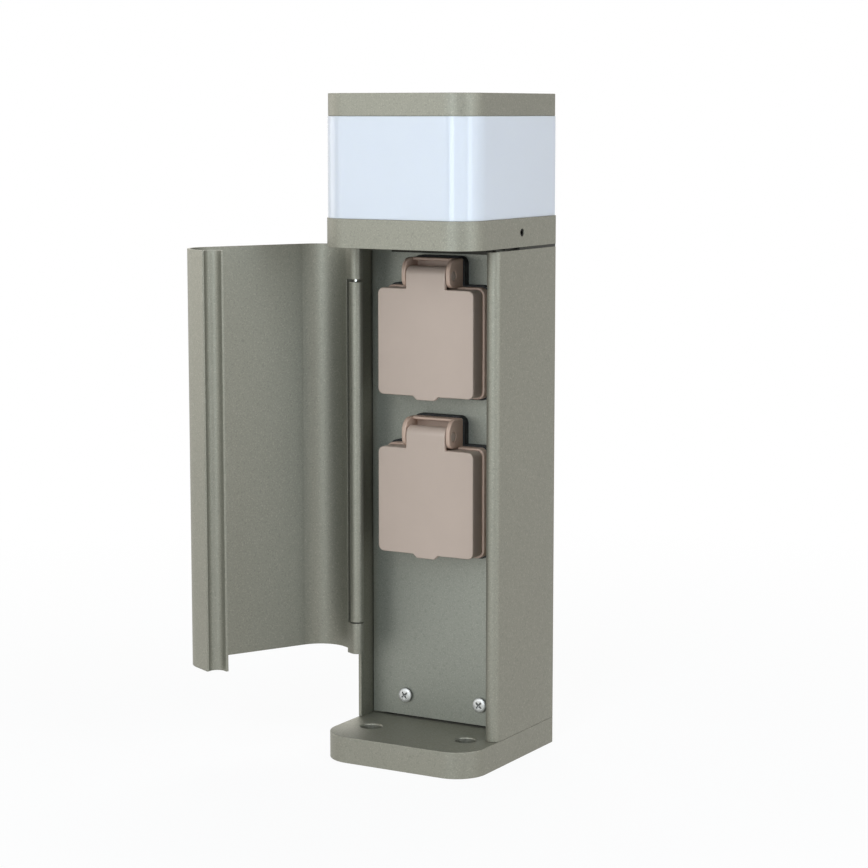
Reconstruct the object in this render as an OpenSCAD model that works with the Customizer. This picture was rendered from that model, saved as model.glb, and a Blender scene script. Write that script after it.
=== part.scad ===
// Garden lamp post with two flap-lid sockets behind a hinged door.
// Z is up, the front faces -Y, and the origin is the centre of the base's underside.
// The door is drawn standing open, and both lids are drawn shut.

/* [Post] */
// Width of the post
post_w = 90; // [86:0.5:110]
// Depth of the post, front to back
post_d = 92; // [88:0.5:110]
// Radius of the two front corners
front_r = 16.8; // [14:0.2:20]
// Radius of the two back corners
back_r = 1.8; // [1.2:0.1:2.4]
// Height of the extruded column
column_h = 249.9; // [245:0.1:320]
// Wall of the column
column_wall = 1.8; // [1.4:0.1:2.4]

/* [Base] */
// Thickness of the base plate
base_h = 13.8; // [12:0.2:20]
// Diameter of the four anchor holes
anchor_d = 11; // [8:0.5:12]
// Spacing of the anchor holes across the post
anchor_spacing_x = 56.6; // [50:0.2:58]
// Spacing of the anchor holes front to back
anchor_spacing_y = 46; // [42:1:50]
// Front face to the front row of anchor holes
anchor_setback = 26; // [24:0.5:30]
// Diameter of the small locating hole at the right front corner
dot_d = 1.4; // [1:0.1:2]

/* [Door hinge] */
// Diameter of the hinge bead on the column's left edge
bead_d = 7; // [6.4:0.2:8]
// Front face to the axis of the hinge bead
bead_setback = 33.5; // [32:0.5:36]
// Diameter of the latch bead on the column's right edge
latch_d = 7.8; // [7:0.2:9]
// Front face to the axis of the latch bead
latch_setback = 32; // [31:0.5:35]
// Diameter of the hinge pins
hinge_pin_d = 2; // [1.6:0.1:2.6]
// Radial clearance of a turning pin
pin_fit = 0.05; // [0.02:0.01:0.1]
// Height of the lower door knuckle
lower_knuckle_h = 16.2; // [12:0.1:20]
// Height of the upper door knuckle
upper_knuckle_h = 17.1; // [12:0.1:20]
// Gap above the lower knuckle
lower_gap = 0.6; // [0.4:0.1:1]
// Gap below the upper knuckle
upper_gap = 1.4; // [1:0.1:2]

/* [Door] */
// Wall of the door
door_t = 1.5; // [1.2:0.1:2]
// Height of the cable slot below the door
cable_slot_h = 36.2; // [30:0.2:60]
// Angle by which the door stands open
door_open = 117; // [0:1:118]
// Clearance of the door's edge channel round the latch bead
channel_gap = 0.3; // [0.2:0.05:0.6]
// Wall of the door's edge channel and lip
lip_t = 1.4; // [1.2:0.1:1.8]
// Gap between the door's top and the collar
door_top_gap = 0.8; // [0.6:0.1:1.2]

/* [Socket panel] */
// Front face of the post to the panel
panel_setback = 52; // [51:0.5:54]
// Thickness of the panel
panel_t = 1.5; // [1.2:0.1:2]
// Side clearance of the panel in the column
panel_gap = 0.5; // [0.3:0.1:0.8]
// Spacing of the two panel screws
panel_screw_spacing = 45; // [40:1:50]
// Height of the panel screws above the base plate
panel_screw_rise = 12; // [10:0.5:14]
// Head diameter of the panel screws
panel_screw_head = 7; // [6:0.2:8]

/* [Sockets] */
// Centre of the upper lid below the column's top
socket_drop = 47.8; // [46:0.2:56]
// Spacing of the two sockets
socket_pitch = 82.2; // [76:0.2:96]
// Width of a lid
lid_w = 56.2; // [54:0.2:60]
// Height of a lid
lid_h = 55; // [53:0.2:58]
// Corner radius of a lid
lid_r = 3.2; // [2.6:0.2:5]
// Depth of a lid
lid_depth = 9.8; // [9:0.2:11]
// Wall of a lid
lid_wall = 2; // [1.6:0.1:2.2]
// Edge radius of a lid's front
lid_edge = 0.6; // [0.5:0.1:1]
// Thickness of a lid's front
lid_front = 2.2; // [1.8:0.1:2.6]
// Thickness of the socket frame
frame_t = 4.5; // [4:0.1:5]
// Overhang of the frame round the lid
frame_rim = 1; // [0.6:0.1:1.4]
// Thickness of the gasket behind the frame
gasket_t = 4.2; // [3:0.1:4.6]
// Overhang of the gasket round the frame
gasket_rim = 0.9; // [0.5:0.1:1.2]
// Diameter of the plug recess
recess_d = 39.4; // [39:0.1:39.8]
// Depth of the plug recess
recess_depth = 17.5; // [16:0.1:18]
// Spacing of the two contacts
contact_pitch = 19; // [18:0.1:20]

/* [Lid hinge] */
// Width of the lid's tongue
tongue_w = 22.9; // [20:0.1:26]
// Thickness of the hinge ears
ear_t = 2.4; // [2:0.1:3]
// Gap between the tongue and an ear
ear_gap = 0.35; // [0.25:0.05:0.6]
// Radius of the ears' rounded fronts
ear_r = 7.4; // [7:0.1:7.8]
// Lid pin axis above the lid's top edge
lid_pin_rise = 6.9; // [6.6:0.1:7.4]
// Lid pin axis behind the lid's face
lid_pin_depth = 4.7; // [4.4:0.1:5]
// Diameter of the lid pins
lid_pin_d = 2.5; // [2:0.1:2.8]

/* [Lamp head] */
// Gap between the column and the head
head_gap = 1.4; // [1.2:0.1:2]
// Height of the collar
collar_h = 14.6; // [13:0.1:20]
// Wall of the collar
collar_wall = 2.5; // [2:0.1:3]
// Height of the opal diffuser
diffuser_h = 50.9; // [40:0.1:90]
// Wall of the diffuser
diffuser_wall = 3; // [2:0.1:4]
// Inset of the diffuser
diffuser_inset = 0.5; // [0.3:0.1:1]
// Height of the top cap
cap_h = 11.4; // [10:0.1:16]
// Inset of the top cap
cap_inset = 0.75; // [0.3:0.05:1]

/* [Hidden] */

$fn = 64;
over = 1;               // how far a cutter runs past what it cuts
fit = 0.05;             // radial clearance of a fixed screw or stud
seat = 0.3;             // clearance between pieces that move past each other

metal = [0.52, 0.52, 0.48];
taupe = [0.69, 0.64, 0.60];
black = [0.08, 0.08, 0.08];
steel = [0.75, 0.75, 0.76];
brass = [0.78, 0.63, 0.30];
opal = [0.95, 0.96, 0.97];
cream = [0.85, 0.84, 0.80];

half_w = post_w / 2;
half_d = post_d / 2;
column_top = base_h + column_h;
inner_x = half_w - column_wall;
inner_back = half_d - column_wall;

// Hinge and door
bead_r = bead_d / 2;
bead_x = half_w - bead_r;
bead_y = -half_d + bead_setback;
latch_r = latch_d / 2;
latch_x = half_w - latch_r;
latch_y = -half_d + latch_setback;
pin_bore_r = hinge_pin_d / 2 + pin_fit;
door_z0 = base_h + cable_slot_h;
door_z1 = column_top + head_gap - door_top_gap;
bead_z0 = door_z0 + lower_knuckle_h + lower_gap;
bead_z1 = door_z1 - upper_knuckle_h - upper_gap;
eye_block = 3.9;        // flat-sided part of the door's eye, in front of its axis
eye_web = 12;           // where the web from the eye meets the door's wall
notch_reach = 6.6;      // door wall kept this far from the axis between the knuckles
wall_cut = bead_r * tan(60) + 2 * seat;   // the column's side starts this far behind the axis there
pin_hold = 14;          // length of each hinge pin in the column
eye_cap = 2;            // closed top of the upper eye
lip_reach = 2;          // how far the lip passes behind the latch bead's axis
door_edge = 3;          // the door's outer face ends this far in front of that axis

// Panel and column ports
panel_y = -half_d + panel_setback;
panel_back = panel_y + panel_t;
rib_t = 1.8;            // ribs that the panel rests on
rib_w = 5.7;
port_r = 3.8;           // screw ports inside the column
port_web = 4;           // web between a port and the side wall
port_bore_r = 2.1;
port_head_r = 3.5;
port_x = inner_x - 4.8;
port_y = [panel_back + rib_t + port_r - 0.4, half_d - collar_wall - port_head_r - seat];
panel_bottom_gap = 1;
panel_slot = 3;         // depth of the slot that holds the panel's top edge
panel_z0 = base_h + panel_bottom_gap;
panel_z1 = column_top - panel_bottom_gap + 0.3;
panel_screw_z = base_h + panel_screw_rise;
bracket_t = 2;
bracket_w = 60;
bracket_h = 22;
bracket_foot = 12;
foot_gap = 26;          // space between the bracket's two feet
bracket_screw_x = bracket_w / 2 - 8;
bracket_screw_y = panel_back + bracket_t + 6;
bracket_screw_r = 2;
panel_shank_r = 2;
port_screw_r = port_bore_r - fit;
earth_x = -18;
earth_y = inner_back - 7;
earth_r = 2.5;
terminal_pitch = 12;
terminal_w = 3 * terminal_pitch + 4;
terminal_z0 = base_h + 46;
terminal_h = 22;
terminal_d = 15;
terminal_rows = [5, terminal_h - 5];

// Cable gland
gland_y = (panel_back + inner_back) / 2;
gland_r = 8;
gland_bore_r = 4.5;
gland_hex_r = 12;
gland_hex_h = 5;
gland_cap_r = 9.4;
gland_cap_h = 13;
gland_nut_h = 5;
gland_pocket_r = gland_hex_r + 1.8;
gland_pocket_h = base_h - 5;

// Sockets, in a frame whose origin is the lid's centre on the panel's face
socket_z = [column_top - socket_drop, column_top - socket_drop - socket_pitch];
frame_y = -(gasket_t + frame_t);
lid_back = frame_y - 0.2;
lid_round = min(lid_edge, lid_front / 2 - 0.1);
lid_y = lid_back - lid_depth;
lid_pin_y = lid_y + lid_pin_depth;
lid_pin_z = lid_h / 2 + lid_pin_rise;
ear_y = lid_pin_y + 3;
ear_z = lid_pin_z + 1.2;
ear_in = tongue_w / 2 + ear_gap;
ear_out = ear_in + ear_t;
frame_w = lid_w + 2 * frame_rim;
frame_hh = lid_h + 2 * frame_rim;
frame_edge = 0.5;
bridge_t = 1.5;
bridge_y = ear_y + 0.6;
housing_wall = 2;
pin_head_r = 2.3;
recess_r = recess_d / 2;
cup_wall = 1.3;
cup_r = recess_r + cup_wall;
cup_floor_t = 3;
cup_floor = frame_y + recess_depth;
cup_back = cup_floor + cup_floor_t;
cup_flange_r = cup_r + 3.4;
cup_flange_t = 1.2;
cup_gap = 0.1;
yoke_t = 1.5;
yoke_y = panel_t + cup_flange_t;
socket_screw_x = lid_w / 2 - 8.1;
socket_screw_z = lid_h / 2 - 7.5;
socket_screw_r = 1.5;
yoke_rim = 6;           // yoke round its screws
shutter_r = 17;
shutter_t = 2;
shutter_turn = 40;
shutter_gap = 0.2;
pivot_r = 2;
pin_hole_r = 2.7;
block_gap = 6.7;        // space for wires between the socket's block and the column's back
block_end = inner_back - panel_y - block_gap;
block_pocket = shutter_t + 2 * shutter_gap;
sleeve_r = 3.3;
clip_w = 6;
clip_t = 0.8;
clip_r = recess_r + 0.1;

// Lamp head
plate_inset = collar_wall + 0.1;
plate_t = 3.2;
plate_rise = head_gap - 0.1;   // the head plate's underside in front, where the door passes
collar_z0 = column_top + head_gap;
collar_z1 = collar_z0 + collar_h;
ledge_t = 3;
ledge_inset = 9;
upstand_t = 2.6;
diffuser_z1 = collar_z1 + diffuser_h;
cap_z1 = diffuser_z1 + cap_h;
seal_t = 1.5;
seal_inset = diffuser_inset + diffuser_wall + 0.2;
set_screw_y = panel_back;
set_screw_z = collar_z0 + 7.3;
set_screw_r = 2;
tie_r = 3;
tie_head_r = 5;
tie_head_h = 5.4;
tie_boss_r = 8;
tie_boss_h = 8.6;
heat_r = 30;
board_r = 32;
board_t = 1.6;
chip_count = 12;
lead_r = 4;             // hole for the lamp's leads, behind the light board
lead_y = half_d - 8.5;
head_floor = column_top + plate_t;
heat_top = collar_z1 - board_t - 0.2;

// Outline of the post seen from above, drawn in by inset
module plan(inset = 0) {
    w = half_w - inset;
    d = half_d - inset;
    a = front_r - inset;
    b = max(back_r - inset, 0);
    translate([-w + a, -d]) square([2 * (w - a), 2 * d]);
    translate([-w, -d + a]) square([2 * w, 2 * d - a - b]);
    translate([-w + b, -d + a]) square([2 * (w - b), 2 * d - a]);
    for (s = [-1, 1]) {
        translate([s * (w - a), -d + a]) circle(a);
        if (b > 0) translate([s * (w - b), d - b]) circle(b);
    }
}

// Ring between two insets of the post's outline
module plan_ring(outer, inner) {
    difference() {
        plan(outer);
        plan(inner);
    }
}

// Rectangle with round corners
module rounded(w, h, r) {
    square([w - 2 * r, h], center = true);
    square([w, h - 2 * r], center = true);
    for (x = [-1, 1], y = [-1, 1]) translate([x * (w / 2 - r), y * (h / 2 - r)]) circle(r);
}

// Extrusion between two heights
module along_z(z0, z1) {
    translate([0, 0, z0]) linear_extrude(z1 - z0) children();
}

// Extrusion from y0 back to y1, of an outline drawn in X and Z
module along_y(y0, y1) {
    translate([0, y1, 0]) rotate([90, 0, 0]) linear_extrude(y1 - y0) children();
}

// Extrusion from x0 to x1, of an outline drawn in Y and Z
module along_x(x0, x1) {
    translate([x0, 0, 0]) rotate([90, 0, 90]) linear_extrude(x1 - x0) children();
}

// Plate with round corners whose front edge at y0 is rounded by edge
module soft_plate(w, h, r, y0, y1, edge) {
    along_z(r - h / 2, h / 2 - r) translate([0, y0]) soft_section(w, y1 - y0, edge);
    along_x(r - w / 2, w / 2 - r) translate([y0, 0]) rotate(-90) mirror([1, 0])
        soft_section(h, y1 - y0, edge);
    for (x = [0, 1], z = [0, 1]) mirror([x, 0, 0]) mirror([0, 0, z])
        translate([w / 2 - r, y0, h / 2 - r]) rotate([-90, 0, 0]) rotate_extrude(angle = -90)
            intersection() {
                soft_section(2 * r, y1 - y0, edge);
                square([r, y1 - y0]);
            }
}

// Section of a plate from its front at 0 to its back at depth, with both front corners rounded
module soft_section(w, depth, edge) {
    translate([-w / 2, edge]) square([w, depth - edge]);
    translate([edge - w / 2, 0]) square([w - 2 * edge, depth]);
    for (s = [-1, 1]) translate([s * (w / 2 - edge), edge]) circle(edge);
}

// Rod along Y at x and z
module rod_y(r, y0, y1, x = 0, z = 0) {
    along_y(y0, y1) translate([x, z]) circle(r);
}

// Rod along X at y and z
module rod_x(r, x0, x1, y, z) {
    along_x(x0, x1) translate([y, z]) circle(r);
}

// Cross-slotted screw whose head's underside is at the origin and whose shank runs down
module cross_screw(head_r, head_h, shank_r, length) {
    dome_r = head_r * 1.5;
    difference() {
        union() {
            intersection() {
                cylinder(h = head_h, r = head_r);
                translate([0, 0, head_h - dome_r]) sphere(dome_r);
            }
            translate([0, 0, -length]) cylinder(h = length + head_h / 2, r = shank_r);
        }
        for (a = [45, 135]) rotate([0, 0, a])
            translate([-head_r * 0.55, -head_r * 0.11, head_h * 0.45])
                cube([head_r * 1.1, head_r * 0.22, head_h]);
    }
}

// Socket-head screw whose head's underside is at the origin and whose shank runs down
module socket_screw(head_r, head_h, shank_r, length) {
    difference() {
        union() {
            cylinder(h = head_h, r = head_r);
            translate([0, 0, -length]) cylinder(h = length + head_h / 4, r = shank_r);
        }
        translate([0, 0, head_h * 0.45]) cylinder(h = head_h, r = head_r * 0.55, $fn = 6);
    }
}

// Places of the four screw ports in the column
module at_ports() {
    for (s = [0, 1], y = port_y) mirror([s, 0, 0]) translate([port_x, y, 0]) children();
}

// Places of the anchor holes
module at_anchors() {
    for (s = [-1, 1], k = [0, 1])
        translate([s * anchor_spacing_x / 2, -half_d + anchor_setback + k * anchor_spacing_y, 0])
            children();
}

// Base plate with its anchor holes, gland pocket and screw recesses
module base_plate() {
    screw_head_r = port_head_r + 0.4;
    screw_recess = 5;
    anchor_chamfer = 0.6;
    dot_x = half_w - 5.6;
    dot_y = -half_d + 15.8;
    color(metal) difference() {
        along_z(0, base_h) plan();
        at_anchors() {
            translate([0, 0, -over]) cylinder(h = base_h + 2 * over, d = anchor_d);
            translate([0, 0, base_h - anchor_chamfer])
                cylinder(h = anchor_chamfer + 0.1, r1 = anchor_d / 2,
                    r2 = anchor_d / 2 + anchor_chamfer + 0.1);
        }
        at_ports() translate([0, 0, -over]) {
            cylinder(h = base_h + 2 * over, r = port_screw_r + 0.4);
            cylinder(h = screw_recess + over, r = screw_head_r);
        }
        translate([0, gland_y, -over]) {
            cylinder(h = base_h + 2 * over, r = gland_r + fit);
            cylinder(h = gland_pocket_h + over, r = gland_pocket_r);
        }
        translate([dot_x, dot_y, base_h - 2.5]) cylinder(h = 2.5 + over, d = dot_d, $fn = 24);
        for (s = [-1, 1]) translate([s * bracket_screw_x, bracket_screw_y, base_h - 8])
            cylinder(h = 8 + over, r = bracket_screw_r + fit);
        translate([earth_x, earth_y, base_h - 8]) cylinder(h = 8 + over, r = earth_r + fit);
    }
}

// Outline of the column's extrusion
module column_profile() {
    intersection() {
        plan_ring(0, column_wall);
        union() {
            translate([-post_w, bead_y]) square([post_w, 2 * post_d]);
            translate([0, latch_y]) square([post_w, 2 * post_d]);
        }
    }
    translate([-bead_x, bead_y]) circle(bead_r);
    translate([latch_x, latch_y]) circle(latch_r);
    for (s = [-1, 1]) {
        translate([s * (inner_x - rib_w / 2 + over / 2), panel_back + rib_t / 2])
            square([rib_w + over, rib_t], center = true);
        translate([s * port_x - port_web / 2, port_y[1]])
            square([port_web, inner_back + over - port_y[1]]);
    }
    at_ports() {
        circle(port_r);
        translate([0, -port_web / 2]) square([inner_x + over - port_x, port_web]);
    }
}

// Column: an open-fronted extrusion, its hinge bead milled away beside the door's knuckles
module column() {
    cut_w = 3 * bead_r;
    cut_front = bead_y - bead_d;
    cut_d = bead_d + wall_cut;
    color(metal) difference() {
        along_z(base_h, column_top) difference() {
            column_profile();
            at_ports() circle(port_bore_r);
            translate([-bead_x, bead_y]) circle(hinge_pin_d / 2 + fit / 2);
        }
        translate([-half_w - over, cut_front, base_h - over])
            cube([cut_w, cut_d, bead_z0 - base_h + over]);
        translate([-half_w - over, cut_front, bead_z1])
            cube([cut_w, cut_d, column_top - bead_z1 + over]);
    }
}

// Four screws through the base into the column's ports
module column_screws() {
    head_h = 4;
    length = 30;
    color(steel) at_ports() translate([0, 0, 5]) rotate([180, 0, 0])
        socket_screw(port_head_r, head_h, port_screw_r, length);
}

// Gland that the supply cable comes up through
module cable_gland() {
    hex_top = base_h + gland_hex_h;
    thread_z0 = gland_pocket_h - gland_nut_h - 1;
    color(black) translate([0, gland_y, 0]) difference() {
        union() {
            along_z(thread_z0, base_h + over) circle(gland_r);
            along_z(base_h, hex_top) circle(r = gland_hex_r, $fn = 6);
            along_z(hex_top, hex_top + gland_cap_h - 3) circle(gland_cap_r);
            along_z(hex_top, hex_top + gland_cap_h) circle(gland_cap_r - 2);
        }
        along_z(-over, hex_top + gland_cap_h + over) circle(gland_bore_r);
    }
}

// Lock nut of the gland, under the base plate's web
module gland_nut() {
    color(black) translate([0, gland_y, 0]) along_z(gland_pocket_h - gland_nut_h, gland_pocket_h)
        difference() {
            circle(r = gland_hex_r, $fn = 6);
            circle(gland_r + fit);
        }
}

// Bent bracket that the panel's screws go into
module panel_bracket() {
    y0 = panel_back;
    color(steel) difference() {
        union() {
            translate([-bracket_w / 2, y0, base_h]) cube([bracket_w, bracket_t, bracket_h]);
            for (s = [0, 1]) mirror([s, 0, 0])
                translate([foot_gap / 2, y0, base_h])
                    cube([(bracket_w - foot_gap) / 2, bracket_foot, bracket_t]);
        }
        for (s = [-1, 1]) {
            rod_y(panel_shank_r + fit, y0 - over, y0 + bracket_t + over, s * panel_screw_spacing / 2,
                panel_screw_z);
            translate([s * bracket_screw_x, bracket_screw_y, base_h - over])
                cylinder(h = bracket_t + 2 * over, r = bracket_screw_r + 0.3);
        }
    }
}

// Two screws that hold the bracket to the base
module bracket_screws() {
    color(steel) for (s = [-1, 1])
        translate([s * bracket_screw_x, bracket_screw_y, base_h + bracket_t])
            cross_screw(3.6, 2.4, bracket_screw_r, 9);
}

// Flat panel that carries the sockets
module socket_panel() {
    hole_gap = 0.5;
    color(metal) difference() {
        translate([-inner_x + panel_gap, panel_y, panel_z0])
            cube([2 * (inner_x - panel_gap), panel_t, panel_z1 - panel_z0]);
        for (z = socket_z) translate([0, 0, z]) {
            rod_y(cup_r + hole_gap, panel_y - over, panel_back + over);
            for (x = [-1, 1], k = [-1, 1])
                rod_y(socket_screw_r + 0.3, panel_y - over, panel_back + over,
                    x * socket_screw_x, k * socket_screw_z);
        }
        for (s = [-1, 1])
            rod_y(panel_shank_r + 0.3, panel_y - over, panel_back + over,
                s * panel_screw_spacing / 2, panel_screw_z);
    }
}

// Two pan-head screws at the panel's foot
module panel_screws() {
    color(steel) for (s = [-1, 1])
        translate([s * panel_screw_spacing / 2, panel_y, panel_screw_z]) rotate([90, 0, 0])
            cross_screw(panel_screw_head / 2, 2.2, panel_shank_r, 8);
}

// Three-pole terminal block on the column's back wall
module terminal_block() {
    y0 = inner_back - terminal_d;
    color(cream) difference() {
        translate([-terminal_w / 2, y0, terminal_z0]) cube([terminal_w, terminal_d, terminal_h]);
        for (k = [-1, 0, 1]) {
            for (z = terminal_rows)
                rod_y(3, y0 - over, y0 + 7, k * terminal_pitch, terminal_z0 + z);
            translate([k * terminal_pitch, y0 + 11, terminal_z0 - over])
                cylinder(h = terminal_h + 2 * over, r = 2.2);
        }
        for (k = [-1, 1])
            translate([k * terminal_pitch / 2 - 0.6, y0 - over, terminal_z0 - over])
                cube([1.2, 5 + over, terminal_h + 2 * over]);
    }
}

// Six clamping screws of the terminal block
module terminal_screws() {
    y0 = inner_back - terminal_d;
    color(brass) for (k = [-1, 0, 1], z = terminal_rows)
        difference() {
            rod_y(2.9, y0 + 3, y0 + 7, k * terminal_pitch, terminal_z0 + z);
            translate([k * terminal_pitch - 3.5, y0 + 2, terminal_z0 + z - 0.4]) cube([7, 2, 0.8]);
        }
}

// Earth stud with its nut, on the base inside the column
module earth_stud() {
    color(brass) translate([earth_x, earth_y, 0]) {
        along_z(base_h - 8, base_h + 16) circle(earth_r);
        along_z(base_h, base_h + 4.5) circle(r = 5.2, $fn = 6);
    }
}

// Pins of the door's hinge, fixed in the column and turning in the door
module upper_hinge_pin() {
    color(steel) translate([-bead_x, bead_y, 0])
        along_z(bead_z1 - pin_hold, door_z1 - eye_cap - 0.1) circle(hinge_pin_d / 2);
}

module lower_hinge_pin() {
    color(steel) translate([-bead_x, bead_y, 0])
        along_z(door_z0 + eye_cap, bead_z0 + pin_hold) circle(hinge_pin_d / 2);
}

// Outline of the door's extrusion as it lies when shut
module door_profile() {
    channel_r = latch_r + channel_gap;
    channel_wall_r = channel_r + lip_t;
    difference() {
        intersection() {
            plan_ring(0, door_t);
            union() {
                translate([-post_w, -post_d]) square([post_w, post_d + bead_y]);
                translate([0, -post_d]) square([post_w, post_d + latch_y - door_edge]);
            }
        }
        translate([latch_x, latch_y]) circle(channel_r);
    }
    translate([-bead_x, bead_y]) {
        circle(bead_r);
        translate([-bead_r, -eye_block]) square([2 * bead_r, eye_block]);
        polygon([[-bead_r, -eye_block], [bead_r, -eye_block], [-bead_r + door_t, -eye_web],
            [-bead_r, -eye_web]]);
    }
    translate([latch_x, latch_y]) {
        intersection() {
            difference() {
                circle(channel_wall_r);
                circle(channel_r);
            }
            union() {
                translate([-2 * latch_d, -2 * latch_d]) square(2 * latch_d);
                translate([-over, -2 * latch_d]) square([latch_r + over, 2 * latch_d - door_edge]);
            }
        }
        translate([-channel_wall_r, -0.1]) square([lip_t, lip_reach + 0.1]);
    }
}

// Door, turned open about its hinge
module door() {
    color(metal) translate([-bead_x, bead_y, 0]) rotate([0, 0, -door_open])
        translate([bead_x, -bead_y, 0]) difference() {
            along_z(door_z0, door_z1) door_profile();
            translate([-half_w - over, bead_y - notch_reach, door_z0 + lower_knuckle_h])
                cube([3 * bead_d, 3 * notch_reach,
                    door_z1 - door_z0 - lower_knuckle_h - upper_knuckle_h]);
            translate([-bead_x, bead_y, door_z0 - over])
                cylinder(h = door_z1 - door_z0 - eye_cap + over, r = pin_bore_r);
        }
}

// Outline of a gasket behind one socket, with the tab behind the lid's hinge
module gasket_outline() {
    tab_w = 2 * (ear_out + gasket_rim);
    tab_top = ear_z + ear_r + gasket_rim;
    tab_r = 4;
    rounded(frame_w + 2 * gasket_rim, frame_hh + 2 * gasket_rim, lid_r + frame_rim + gasket_rim);
    translate([-tab_w / 2, 0]) square([tab_w, tab_top - tab_r]);
    translate([-tab_w / 2 + tab_r, 0]) square([tab_w - 2 * tab_r, tab_top]);
    for (s = [-1, 1]) translate([s * (tab_w / 2 - tab_r), tab_top - tab_r]) circle(tab_r);
}

// Screw places round one socket
module at_socket_screws() {
    for (x = [-1, 1], z = [-1, 1]) translate([x * socket_screw_x, z * socket_screw_z]) children();
}

module gasket() {
    color(black) along_y(-gasket_t, 0) difference() {
        gasket_outline();
        circle(cup_r + 0.3);
        at_socket_screws() circle(socket_screw_r + 0.3);
    }
}

// Rounded outline of a hinge ear, in Y and Z
module ear_outline() {
    flat = -gasket_t - ear_y;
    translate([ear_y, ear_z]) {
        intersection() {
            circle(ear_r);
            translate([-ear_r - over, -ear_r - over]) square([flat + ear_r + over, 2 * (ear_r + over)]);
        }
        translate([0, -ear_r]) square([flat, 2 * ear_r]);
    }
}

// Socket frame: flange, two hinge ears, the bridge over them and the wall behind
module frame() {
    head_seat = 1.2;
    color(taupe) difference() {
        union() {
            soft_plate(frame_w, frame_hh, lid_r + frame_rim, frame_y, -gasket_t, frame_edge);
            for (s = [0, 1]) mirror([s, 0, 0]) along_x(ear_in, ear_out) ear_outline();
            translate([-ear_in - 0.5, bridge_y, ear_z + ear_r - bridge_t])
                cube([2 * ear_in + 1, -gasket_t - bridge_y, bridge_t]);
            translate([-ear_in - 0.5, -gasket_t - housing_wall, frame_hh / 2 - over])
                cube([2 * ear_in + 1, housing_wall, ear_z + ear_r - frame_hh / 2 + over]);
        }
        rod_y(cup_r + cup_gap, frame_y - over, -gasket_t + over);
        along_y(frame_y - over, -gasket_t + over) at_socket_screws() circle(socket_screw_r + 0.3);
        rod_x(lid_pin_d / 2 + fit, -ear_out - over, ear_out + over, lid_pin_y, lid_pin_z);
        rod_x(pin_head_r + 0.15, ear_out - head_seat, ear_out + over, lid_pin_y, lid_pin_z);
    }
}

// Recessed cup that the plug goes into
module socket_cup() {
    slot_w = clip_w + 0.4;
    color(taupe) difference() {
        union() {
            rod_y(cup_r, frame_y, cup_back);
            rod_y(cup_flange_r, panel_t, panel_t + cup_flange_t);
        }
        rod_y(recess_r, frame_y - over, cup_floor);
        for (s = [-1, 1]) rod_y(pin_hole_r, cup_floor - over, cup_back + over, s * contact_pitch / 2);
        for (s = [-1, 1]) translate([-slot_w / 2, cup_back - 13.5, s * (clip_r + clip_t / 2) - 0.6])
            cube([slot_w, 13.5 + over, 1.2]);
    }
}

// Block behind the cup that holds the contacts and the shutter
module socket_block() {
    slot_w = clip_w + 0.2;
    color(black) difference() {
        union() {
            difference() {
                rod_y(cup_r - 0.2, cup_back, block_end);
                rod_y(shutter_r + 0.3, cup_back - over, cup_back + block_pocket);
            }
            rod_y(pivot_r, cup_back + 0.1, cup_back + block_pocket + over);
        }
        for (s = [-1, 1]) {
            rod_y(sleeve_r + 0.1, cup_back + over, block_end - over, s * contact_pitch / 2);
            translate([-slot_w / 2, cup_back - over, s * (clip_r + clip_t / 2) - 0.5])
                cube([slot_w, 4 + over, 1]);
        }
    }
}

// Turning shutter that covers the contacts until a plug's pins turn it
module shutter() {
    color(cream) difference() {
        rod_y(shutter_r, cup_back + shutter_gap, cup_back + shutter_gap + shutter_t);
        rod_y(pivot_r + pin_fit, cup_back - over, cup_back + block_pocket + over);
        for (s = [0, 180]) rotate([0, s + shutter_turn, 0])
            rod_y(pin_hole_r + 0.1, cup_back - over, cup_back + block_pocket + over,
                contact_pitch / 2);
    }
}

// Two contact sleeves and two earth clips
module contacts() {
    sleeve_end = block_end - 2;
    color(brass) {
        for (s = [-1, 1]) difference() {
            rod_y(sleeve_r, cup_back + block_pocket + 0.1, sleeve_end, s * contact_pitch / 2);
            rod_y(sleeve_r - 0.85, cup_back, sleeve_end + over, s * contact_pitch / 2);
        }
        for (s = [-1, 1])
            translate([-clip_w / 2, cup_back - 13, s * (clip_r + clip_t / 2) - clip_t / 2])
                cube([clip_w, 16.5, clip_t]);
    }
}

// Steel yoke behind the panel that the socket's screws pull on
module yoke() {
    color(steel) along_y(yoke_y, yoke_y + yoke_t) difference() {
        rounded(2 * (socket_screw_x + yoke_rim), 2 * (socket_screw_z + yoke_rim), 5);
        circle(cup_r + 0.3);
        at_socket_screws() circle(socket_screw_r + fit);
    }
}

// Four screws through the frame into the yoke
module socket_screws() {
    length = yoke_y + yoke_t - frame_y + 1.5;
    color(steel) for (x = [-1, 1], z = [-1, 1])
        translate([x * socket_screw_x, frame_y, z * socket_screw_z]) rotate([90, 0, 0])
            cross_screw(2.7, 1.8, socket_screw_r, length);
}

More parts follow.
